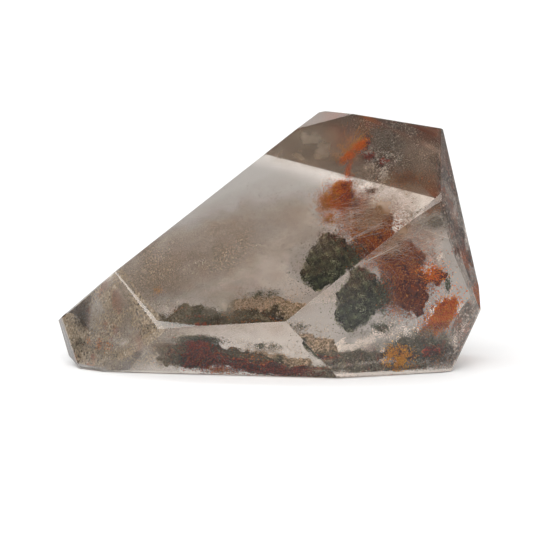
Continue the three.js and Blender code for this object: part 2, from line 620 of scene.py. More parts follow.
@dataclass
class NodeForm:
    """The closed form of a node of the frame, for filling it with grains."""

    node: str
    tries: int = 6  # places tried for each one that is wanted
    even: float = 0.5  # how readily a place is kept; the knots add to it or take from it
    thinning: float = 0.6
    knots: float = 0.35
    knot_size: float = 1.4
    cover: float = 0.6  # how deep below the core's skin grains are still laid
    full_depth: float = 2.8  # the depth in mm at which a grain has its deep colour, darkest as painted shade
    weld: float = 1e-3

    def __post_init__(self) -> None:
        """Takes a merged copy of the node's mesh, in mm."""
        self.mesh = bmesh.new()
        self.mesh.from_mesh(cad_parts[self.node].data)
        bmesh.ops.scale(self.mesh, vec=(1 / MM,) * 3, verts=self.mesh.verts[:])
        bmesh.ops.remove_doubles(self.mesh, verts=self.mesh.verts[:], dist=self.weld)
        self.mesh.normal_update()
        self.tree = BVHTree.FromBMesh(self.mesh)
        points = np.array([vert.co for vert in self.mesh.verts])
        self.low, self.high = points.min(axis=0), points.max(axis=0)

    def depths(self, points: Array) -> Array:
        """How deep each place lies below the form's skin.

        Args:
            points: the places.

        Returns:
            The depths in mm, negative outside.
        """
        found = np.empty(len(points))
        for index, point in enumerate(points):
            nearest, normal, _, distance = self.tree.find_nearest(Vector(point))
            found[index] = math.copysign(distance, (nearest - Vector(point)).dot(normal))
        return found

    def fill(self, sort: "Grains", rng: Draws, core_skin: Skin | None, fuzz: float) -> Arrays:
        """Random places inside the form, fewer towards its skin.

        Args:
            sort: how many grains there are, and how they keep to the middle.
            rng: the source of the places.
            core_skin: how deep the core lies that they cover, if there is one.
            fuzz: how far they stand off the core, in mm.

        Returns:
            The places and their depths as shares of the full depth.
        """
        points = rng.uniform(self.low, self.high, (sort.count * self.tries, 3))
        depths = self.depths(points)
        skin = np.full(len(points), sort.margin)
        keep = np.ones(len(points), bool)
        if core_skin:
            core = core_skin(points)
            skin = np.maximum(sort.margin, core - fuzz)
            keep = depths < core + self.cover
        share = np.clip((depths - skin) / (depths.max() - skin), 0, 1)
        chance = share ** sort.ease * (self.even + ripples(points, self.knot_size, sort.count) * self.knots)
        keep &= (depths > skin) & (chance > rng.random(len(points)) * self.thinning)
        return points[keep][:sort.count], np.clip(depths[keep][:sort.count] / self.full_depth, 0, 1)

    def core(self, core_skin: Skin) -> Arrays:
        """A knobbly body inside the form.

        Args:
            core_skin: how deep it lies.

        Returns:
            Its points and its triangles.
        """
        body = self.mesh.copy()
        bmesh.ops.subdivide_edges(body, edges=body.edges[:], cuts=2, use_grid_fill=True)
        bmesh.ops.smooth_vert(body, verts=body.verts[:], factor=0.5, use_axis_x=True, use_axis_y=True,
                              use_axis_z=True)
        body.normal_update()
        sunk = core_skin(np.array([vert.co for vert in body.verts]))
        for vert, depth in zip(body.verts, sunk):
            vert.co -= vert.normal * depth
        return arrays_of(body)


# The stone


@dataclass
class ClearStone:
    """The clear quartz: one convex, ground and polished body in place of its two halves."""

    halves: tuple[str, str] = ("quartz_front", "quartz_back")
    block: float = 120.0  # side of the rough block
    smallest_face: float = 0.3  # mm2, a face of a half that still gives a facet's plane
    same_way: float = 0.9999  # two faces whose normals agree so well lie in one facet
    flatness: float = 0.02  # how far a point may stand out of its facet
    edge_polish: float = 0.10
    dull_facets: tuple[Place, ...] = ((0.149, 0.884, 0.443), (0.365, 0.730, 0.578))  # where they face
    dull_match: float = 0.999
    finish: QuartzFinish = QuartzFinish()
    planes: Array = field(default_factory=lambda: np.empty((0, 4)))

    def find_planes(self) -> None:
        """Finds the planes of the ground facets: the faces of the halves that nothing lies beyond."""
        halves = bmesh.new()
        for half in self.halves:
            halves.from_mesh(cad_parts[half].data)
        bmesh.ops.scale(halves, vec=(1 / MM,) * 3, verts=halves.verts[:])
        halves.normal_update()
        points = np.array([vert.co for vert in halves.verts])
        found: list[Array] = []
        for face in halves.faces:
            normal = np.array(face.normal)
            reach = normal @ np.array(face.verts[0].co)
            known = any(normal @ plane[:3] >= self.same_way for plane in found)
            if known or face.calc_area() <= self.smallest_face:
                continue
            if (points @ normal).max() < reach + self.flatness:
                found.append(np.array([*normal, reach]))
        halves.free()
        self.planes = np.array(found)

    @staticmethod
    def cut(body: BMesh, plane: Array, margin: float = 0.0) -> list[BMEdge]:
        """Cuts away what lies beyond a facet's plane, or nearer below it than the margin.

        Args:
            body: what is cut.
            plane: the plane's normal and its reach from the origin.
            margin: how far below the plane the cut lies.

        Returns:
            The rim of the cut.
        """
        cut = bmesh.ops.bisect_plane(
            body, geom=body.verts[:] + body.edges[:] + body.faces[:], dist=1e-4,
            plane_co=plane[:3] * (plane[3] - margin), plane_no=plane[:3], clear_outer=True)
        return only(cut["geom_cut"], BMEdge)

    def grind(self) -> BMesh:
        """Grinds every facet into the rough block.

        Returns:
            The ground body, in mm.
        """
        body = bmesh.new()
        bmesh.ops.create_cube(body, size=self.block)
        for plane in self.planes:
            bmesh.ops.contextual_create(body, geom=self.cut(body, plane))
        bmesh.ops.recalc_face_normals(body, faces=body.faces[:])
        return body

    def build(self) -> bpy.types.Object:
        """Makes the stone's body, its edges barely softened by the polish.

        Returns:
            The piece.
        """
        self.find_planes()
        body = self.grind()
        bmesh.ops.bevel(body, geom=body.edges[:], offset=self.edge_polish, segments=2, profile=0.5,
                        affect="EDGES", material=-1, clamp_overlap=True)
        mesh = mesh_of("clear_quartz", body, self.finish.build())
        facing = np.array([face.normal for face in mesh.polygons]) @ np.array(self.dull_facets).T
        dull = mesh.attributes.new(DULL, "FLOAT", "FACE")
        dull.data.foreach_set("value", (facing.max(axis=1) > self.dull_match).astype(np.float32))
        piece = new_object("clear_quartz", mesh)
        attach(piece, BODY)
        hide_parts(*self.halves)
        LOG.info("clear_quartz: %d facets, %d faces with its softened edges", len(self.planes),
                 len(mesh.polygons))
        return piece

    def trim(self, film: BMesh, margin: float) -> None:
        """Cuts away what lies outside the quartz or nearer to its skin than the margin."""
        for plane in self.planes:
            self.cut(film, plane, margin)

    def holds(self, points: Array, margin: float = 0.4) -> Array:
        """Whether each place lies inside the quartz, clear of its skin by the margin."""
        return (points @ self.planes[:, :3].T < self.planes[:, 3] - margin).all(axis=1)


# The inclusions


@dataclass(frozen=True)
class Grains:
    """One sort of grain in an inclusion."""

    count: int
    size: Span
    shape: GrainShape = CRUMB
    margin: float = 0.12  # how far below the skin they stay
    ease: float = 0.5  # how strongly they keep to the middle; 0 is even
    lift: float = 0.0  # added to the tint


@dataclass(frozen=True)
class Zone:
    """A part of an inclusion with a colour of its own."""

    centre: Place
    radii: Place
    tint: float
    vary: float = 0.08


@dataclass
class Inclusion:
    """A body of mineral grains grown in the quartz, in place of its solid."""

    node: str
    slot: str
    finish: GrainFinish
    seed: int
    grains: tuple[Grains, ...]
    inset: float = 0.7  # the mean depth of the core's skin
    lump: float = 0.6  # how far its knobs rise and sink
    lump_size: float = 2.0
    lump_limits: Span = (-1.3, 1.0)  # the deepest dent and the highest knob, as shares of the lump
    fine: float = 0.35  # the share of small knobs
    fineness: float = 2.6  # how many of them go into a large one
    fuzz: float = 0.7  # how far grains stand off the core
    # grains go from tint_skin at the skin to tint_deep deep inside, darker there as painted shade
    tint_deep: float = 0.2
    tint_skin: float = 0.6
    core_share: float = 0.8  # how far the core's own colour is the deep one: painted shade in the crevices under the grains
    vary: float = 0.1  # how far each grain's tint is its own
    patch: float = 0.25
    patch_size: float = 3.0
    ragged: float = 0.3  # how ragged the zones' rims are
    ragged_size: float = 1.6
    zones: tuple[Zone, ...] = ()
    solid: bool = True  # False for dust that hangs in the quartz with no body of its own

    def core_skin(self, points: Array) -> Array:
        """How deep the core's knobbly skin lies below the form's own.

        Args:
            points: the places where it is wanted.

        Returns:
            The depth in mm at each place.
        """
        knobs = ripples(points, self.lump_size, self.seed) * (1 - self.fine)
        knobs += ripples(points, self.lump_size / self.fineness, self.seed + 1) * self.fine
        return self.inset - self.lump * np.clip(knobs, *self.lump_limits)

    def tints(self, points: Array, share: Array, rng: Draws, vary: float = 1.0) -> Array:
        """The colour of each grain, from its depth and the patch it lies in; deeper is darker, as painted
        shade in the hollows.

        Args:
            points: the grains' places.
            share: their depths as shares of the full depth.
            rng: sets each grain a little apart.
            vary: how far it does so; 0 is not at all.

        Returns:
            Their places in the range of colours.
        """
        # painted shade: grains grow darker the deeper they lie in the form
        tint = self.tint_skin + (self.tint_deep - self.tint_skin) * share
        tint = tint + ripples(points, self.patch_size, self.seed + 5) * self.patch
        tint += rng.normal(0, self.vary, len(points)) * vary
        ragged = ripples(points, self.ragged_size, self.seed + 6) * self.ragged
        for zone in self.zones:
            away = np.linalg.norm((points - zone.centre) / zone.radii, axis=1)
            own = zone.tint + rng.normal(0, zone.vary, len(points)) * vary
            tint = np.where(away + ragged < 1, own, tint)
        return np.clip(tint, 0, 1)

    def build(self) -> bpy.types.Object:
        """Joins the core and its grains in one piece that replaces the node.

        Returns:
            The piece.
        """
        form = NodeForm(self.node)
        stock = Stock(self.seed)
        if self.solid:
            points, faces = form.core(self.core_skin)
            # the core takes the dark deep colour as painted shade in the crevices between the grains
            share = np.full(len(points), self.core_share)
            stock.add(points, faces, self.tints(points, share, stock.rng, vary=0.0))
        for sort in self.grains:
            places, share = form.fill(sort, stock.rng, self.core_skin if self.solid else None, self.fuzz)
            sizes = stock.rng.uniform(*sort.size, len(places))
            tints = np.clip(self.tints(places, share, stock.rng) + sort.lift, 0, 1)
            stock.add_grains(places, sizes, tints, sort.shape)
        piece = stock.build(f"{self.node}_grains", self.finish, self.slot)
        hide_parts(self.node)
        return piece


# What lies loose in the quartz


@dataclass(frozen=True)
class Cloud:
    """A loose drift of grains: an ellipsoid with a lean about Y, clockwise to the viewer."""

    centre: Place
    radii: Place
    count: int
    size: Span
    clump: float = 0.0  # how strongly the grains gather in knots
    tint: Span = (0.2, 0.8)
    lean: float = 0.0
    clump_size: float = 2.0
    shape: GrainShape = CRUMB
    spread: float = 0.45  # width of the fall-off, as a share of the radii
    tries: int = 8  # places tried for each one that is wanted
    even: float = 0.5  # how readily a place is kept; the knots add to it or take from it

    def add_to(self, stock: Stock, stone: ClearStone) -> None:
        """Lays the grains into the stock, where the quartz holds them.

        Args:
            stock: takes the grains.
            stone: the quartz that holds them.
        """
        turn = math.radians(self.lean)
        across = np.array([[math.cos(turn), 0, math.sin(turn)], [0, 1, 0],
                           [-math.sin(turn), 0, math.cos(turn)]])
        rng = stock.rng
        points = rng.normal(0, self.spread, (self.count * self.tries, 3)) * self.radii
        points = points @ across.T + self.centre
        knots = ripples(points, self.clump_size, stock.seed) * self.clump
        keep = stone.holds(points) & (rng.random(len(points)) < self.even + knots)
        places = points[keep][:self.count]
        sizes = rng.uniform(*self.size, len(places))
        stock.add_grains(places, sizes, rng.uniform(*self.tint, len(places)), self.shape)


@dataclass(frozen=True)
class Strands:
    """A sheaf of fine curved fibres, each a chain of needles."""

    centre: Place
    radii: Place
    count: int
    length: Span
    lean: Span = (0.0, 180.0)  # degrees above +X, as the viewer sees them
    curl: float = 60.0  # how far a fibre turns from end to end, in degrees
    links: int = 12
    overlap: float = 1.3  # a needle's length as a share of its link's
    stoutness: float = 1.0
    tint: Span = (0.3, 1.0)
    spread: float = 0.45  # width of the fall-off, as a share of the radii
    slant: float = 0.25  # how far they lean towards the viewer or away
    margin: float = 0.9  # how far they stay below the stone's skin

    def add_to(self, stock: Stock, stone: ClearStone) -> None:
        """Lays the fibres into the stock, where the quartz holds them.

        Args:
            stock: takes the needles.
            stone: the quartz that holds them.
        """
        rng = stock.rng
        start = rng.normal(0, self.spread, (self.count, 1, 3)) * self.radii + self.centre
        heading = np.radians(rng.uniform(*self.lean, (self.count, 1)))
        bend = np.radians(rng.normal(0, self.curl, (self.count, 1))) / self.links
        angle = heading + bend * np.arange(self.links)
        depth = rng.normal(0, self.slant, (self.count, 1)) * np.ones(self.links)
        step = rng.uniform(*self.length, (self.count, 1, 1)) / self.links
        along = np.stack([np.cos(angle), depth, np.sin(angle)], -1)
        along /= np.linalg.norm(along, axis=-1, keepdims=True)
        middles = (start + np.cumsum(along * step, axis=1)).reshape(-1, 3)
        along = along.reshape(-1, 3)
        aside = np.cross(along, (0.0, 1.0, 0.0))
        aside /= np.linalg.norm(aside, axis=1, keepdims=True)
        turns = np.stack([along, aside, np.cross(along, aside)], -1)
        turns[:, :, 1:] *= self.stoutness
        sizes = np.repeat(step.reshape(-1), self.links) * self.overlap / NEEDLE.value[0]
        tints = np.repeat(rng.uniform(*self.tint, self.count), self.links)
        kept = stone.holds(middles, self.margin)
        stock.add_grains(middles[kept], sizes[kept], tints[kept], NEEDLE, turns[kept])


@dataclass(frozen=True)
class Veil:
    """A thin wavy film of fine dust, which faces the viewer unless it is turned."""

    centre: Place
    width: float
    height: float
    lean: float = 0.0  # degrees about Y, its right end rises
    facing: Span = (0.0, 0.0)  # degrees about Z, as a facet's bearing, and how far its top goes back
    wave: float = 1.0
    wave_size: float = 9.0
    strength: float = 1.0
    margin: float = 0.5  # how far it stays below the stone's skin

    def add_to(self, stock: Stock, stone: ClearStone) -> None:
        """Lays the film into the stock, cut off where it would leave the quartz.

        Args:
            stock: takes the film.
            stone: the quartz that holds it.
        """
        film = bmesh.new()
        bmesh.ops.create_grid(film, x_segments=36, y_segments=20, size=0.5)
        fade = film.verts.layers.float.new(FADE)
        flat = np.array([vert.co for vert in film.verts])
        swell = ripples(flat * (self.width, self.height, 1.0), self.wave_size, stock.seed) * self.wave
        for vert, rise in zip(film.verts, swell):
            across, up = vert.co.x, vert.co.y
            flat_top = (1 - (2 * across) ** 4) * (1 - (2 * up) ** 4)
            vert[fade] = max(flat_top, 0.0) * self.strength
            vert.co = (across * self.width, float(rise), up * self.height)
        bearing, tip = self.facing
        turn = Matrix.Rotation(math.radians(bearing), 3, "Z")
        turn = turn @ Matrix.Rotation(math.radians(-tip), 3, "X")
        turn = turn @ Matrix.Rotation(math.radians(-self.lean), 3, "Y")
        bmesh.ops.rotate(film, cent=(0, 0, 0), matrix=turn, verts=film.verts[:])
        bmesh.ops.translate(film, verts=film.verts[:], vec=self.centre)
        stone.trim(film, self.margin)
        values = np.array([vert[fade] for vert in film.verts])
        if len(values):
            stock.add(*arrays_of(film), values)


@dataclass(frozen=True)
class Growth:
    """Clouds, sheaves or veils of one mineral, joined in one piece."""

    name: str
    slot: str
    seed: int
    finish: GrainFinish | VeilFinish | SpeckleFinish
    parts: tuple[Cloud | Strands | Veil, ...]

    def build(self, stone: ClearStone) -> bpy.types.Object:
        """Lays every part and joins them; each part has the next number as its seed.

        Args:
            stone: the quartz that holds them.

        Returns:
            The piece.
        """
        stock = Stock(self.seed)
        for part in self.parts:
            part.add_to(stock, stone)
            stock.seed += 1
        return stock.build(self.name, self.finish, self.slot)


# The studio


@dataclass(frozen=True)
class Softbox:
    """One large soft light."""

    name: str
    place: Place
    aim: Place  # the place it faces
    size: Span  # width and height
    power: float  # watts
    spread: float = 180.0  # the angle it shines into, in degrees

    def hang(self) -> None:
        """Hangs the light in its place, turned to its aim."""
        data = bpy.data.lights.new(self.name, "AREA")
        data.shape = "RECTANGLE"
        data.size, data.size_y = (side * MM for side in self.size)
        data.energy = self.power
        data.spread = math.radians(self.spread)
        lamp = new_object(self.name, data)
        lamp.location = Vector(self.place) * MM
        sight = Vector(self.aim) - Vector(self.place)
        lamp.rotation_euler = sight.to_track_quat("-Z", "Y").to_euler()


@dataclass
class Studio:
    """The camera of the photograph, soft light and a pale paper sweep."""

    camera_place: Place = (-0.34, -913.76, 131.56)
    camera_drop: float = 7.0  # degrees below the level
    pixels_per_mm: float = 421 / 80
    distance: float = 900.0
    frame_pixels: float = 533.0
    sensor: float = 36.0
    floor_gap: float = 0.2
    sweep_width: float = 2400.0
    sweep_front: float = 1300.0
    sweep_back: float = 1100.0
    sweep_curve: float = 60.0
    sweep_height: float = 900.0
    sky: float = 0.40
    lights: tuple[Softbox, ...] = (
        Softbox("key_softbox", (0, -950, 560), (0, 60, 0), (520, 300), 3.2),
        Softbox("front_softbox", (0, -1500, 900), (0, 0, 20), (2000, 1400), 28.0),
        Softbox("floor_softbox", (0, 650, 900), (0, 500, 0), (1800, 900), 6.5),
        Softbox("far_softbox", (0, 1000, 620), (0, 1040, 0), (1600, 160), 1.2, spread=100.0),
        Softbox("bevel_strip", (-600, -325, 765), (-20, -10, 15), (440, 250), 1.9))

    def camera(self) -> None:
        """Sets up the camera, which looks along +Y and a little down."""
        data = bpy.data.cameras.new("camera")
        data.sensor_width = self.sensor
        data.lens = self.sensor * self.pixels_per_mm * self.distance / self.frame_pixels
        data.clip_end = 20.0
        camera = new_object("camera", data)
        camera.location = Vector(self.camera_place) * MM
        camera.rotation_euler = (math.radians(90 - self.camera_drop), 0, 0)
        bpy.context.scene.camera = camera

    def sweep(self) -> None:
        """Lays the paper: a floor that curves up behind the stone."""
        paper = bmesh.new()
        half = self.sweep_width / 2
        ends = [paper.verts.new((x, -self.sweep_front, -self.floor_gap)) for x in (-half, half)]
        edge = paper.edges.new(ends)
        flat = bmesh.ops.extrude_edge_only(paper, edges=[edge])["geom"]
        moved = only(flat, BMVert)
        bmesh.ops.translate(paper, verts=moved, vec=(0, self.sweep_front + self.sweep_back, 0))
        last = [item for item in only(flat, BMEdge) if set(item.verts) <= set(moved)]
        centre = (0, self.sweep_back, self.sweep_curve - self.floor_gap)
        bend = bmesh.ops.spin(paper, geom=last, cent=centre, axis=(1, 0, 0), angle=math.pi / 2, steps=24,
                              use_duplicate=False)
        top = only(bend["geom_last"], BMEdge)
        wall = bmesh.ops.extrude_edge_only(paper, edges=top)["geom"]
        bmesh.ops.translate(paper, verts=only(wall, BMVert), vec=(0, 0, self.sweep_height))
        bmesh.ops.recalc_face_normals(paper, faces=paper.faces[:])
        sweep = new_object("paper_sweep", mesh_of("paper_sweep", paper, StageFinish().build()))

    def build(self) -> None:
        """Sets up camera, paper and light."""
        self.camera()
        self.sweep()
        world = bpy.data.worlds.new("soft_white_room")
        world.use_nodes = True
        sky = world.node_tree.nodes["Background"].inputs
        sky["Color"].default_value = (1, 1, 1, 1)
        sky["Strength"].default_value = self.sky
        bpy.context.scene.world = world
        for light in self.lights:
            light.hang()
        bpy.context.scene.view_settings.view_transform = "Standard"


# The garden

MOSS = GrainFinish("green_chlorite", (
    (0, 36, 42, 28), (0.35, 76, 88, 62), (0.65, 122, 134, 102), (1, 178, 186, 154)), mottle=0.6)
RUST = GrainFinish("rust_oxide", (
    (0, 84, 36, 16), (0.35, 150, 70, 20), (0.65, 212, 112, 30), (1, 242, 178, 96)))
ORANGE = GrainFinish("orange_oxide", (
    (0, 104, 30, 12), (0.3, 188, 66, 12), (0.6, 246, 128, 10), (1, 254, 196, 40)))
FLAME = GrainFinish("flame_oxide", (
    (0, 176, 66, 4), (0.3, 244, 112, 4), (0.7, 255, 156, 16), (1, 255, 212, 76)))
BLOOD = GrainFinish("dark_red_oxide", (
    (0, 54, 22, 18), (0.4, 104, 36, 26), (0.75, 160, 48, 30), (1, 196, 110, 80)))
OCHRE = GrainFinish("yellow_ochre", ((0, 172, 96, 0), (0.5, 224, 146, 0), (1, 255, 206, 60)))
DUST = GrainFinish("brown_dust", ((0, 70, 60, 46), (0.5, 132, 114, 90), (1, 214, 198, 174)))
SPARK = GrainFinish("white_sparks", ((0, 206, 198, 188), (1, 255, 252, 246)), roughness=0.3)
BED = GrainFinish("garden_bed", (
    (0, 58, 32, 26), (0.12, 100, 44, 32), (0.25, 190, 62, 36), (0.36, 196, 124, 60), (0.5, 78, 68, 52),
    (0.65, 82, 82, 60), (0.82, 158, 144, 118), (1, 240, 220, 198)), mottle=0.75, mottle_size=0.45)

# Which way the facets face, for the films that lie below them: bearing and tip in degrees
LEFT_FACE = (-43.5, 13.4)
MAIN_FACE = (-18.1, 41)
UNDER_FACE = (-11.2, -29.2)
RIGHT_FACE = (22, -2.4)
RIGHT_STRIP = (71.3, 14.8)
LOW_STRIP = (41.2, -12.6)

INCLUSIONS = (
    Inclusion("chlorite_clump", "green_chlorite", MOSS, 11, (
        Grains(5000, (0.18, 0.46), margin=0.15, ease=0.1),
        Grains(4000, (0.1, 0.28), margin=0, ease=0, lift=0.18)),
        inset=1.2, lump=1.5, lump_size=2.3, fuzz=0.5, tint_deep=0, tint_skin=0.75, patch=0.4,
        patch_size=1.5),
    Inclusion("rust_cloud", "rust_brown_oxide", RUST, 23, (
        Grains(4000, (0.25, 0.8), PLATE), Grains(5500, (0.1, 0.35), ease=0.2)),
        lump=1.3, lump_size=2.6, fuzz=1.2, tint_deep=0, tint_skin=0.7,
        zones=(Zone((24.6, 8, 17.6), (3, 4, 2.8), 0.1, 0.12),)),
    Inclusion("orange_plume", "orange_oxide", ORANGE, 37, (
        Grains(3500, (0.1, 0.32)), Grains(2000, (0.2, 0.5), NEEDLE, ease=0.1)),
        inset=1.6, lump=1.7, lump_size=2.2, fuzz=1.1, tint_deep=0, tint_skin=0.95,
        zones=(Zone((17.6, 14, 26.4), (1.8, 4, 1.6), 0.1, 0.1),)),
    Inclusion("orange_flake", "orange_oxide", FLAME, 41, (
        Grains(2000, (0.12, 0.4), ease=0.2), Grains(1200, (0.3, 0.7), PLATE, ease=0.2)),
        inset=1, lump=1.2, lump_size=1.8, tint_deep=0.3, tint_skin=0.7),
    Inclusion("garden_bed", "mixed_sediment", BED, 53, (
        Grains(10000, (0.16, 0.45), margin=0.1, ease=0.05), Grains(6000, (0.08, 0.2), margin=0, ease=0)),
        inset=1.1, lump=1.1, tint_deep=0.6, tint_skin=0.68, patch=0.12,
        zones=(
            Zone((0.6, 5, 7.6), (8.5, 4.5, 2.8), 0.93, 0.2),
            Zone((7.6, 3.4, 5.6), (4, 4.4, 3.2), 0.86, 0.2),
            Zone((-12.5, -9.8, 2.6), (9.6, 4.4, 4.2), 0.05), Zone((3, -7, 1.4), (12, 4, 2.6), 0.05, 0.1),
            Zone((-9, -6.5, 1.8), (2.2, 2, 1.4), 0.34), Zone((9, -7, 2), (3.5, 2, 1.2), 0.98),
            Zone((32, -6, 3), (3, 4, 2.5), 0.12), Zone((24.4, -6.6, 3), (2.5, 3, 2.8), 0.38, 0.03))),
    Inclusion("brown_dust", "hazy_quartz", DUST, 71, (
        Grains(5000, (0.05, 0.13), margin=0.1, ease=0.3),),
        solid=False, tint_deep=0.5, tint_skin=0.8),
    Inclusion("left_dust", "hazy_quartz", DUST, 73, (
        Grains(4500, (0.06, 0.2), margin=0.1, ease=0.2), Grains(500, (0.12, 0.3), margin=0.1, ease=0.4)),
        solid=False, tint_deep=0.5, tint_skin=0.8, patch=0.4, patch_size=4),
)

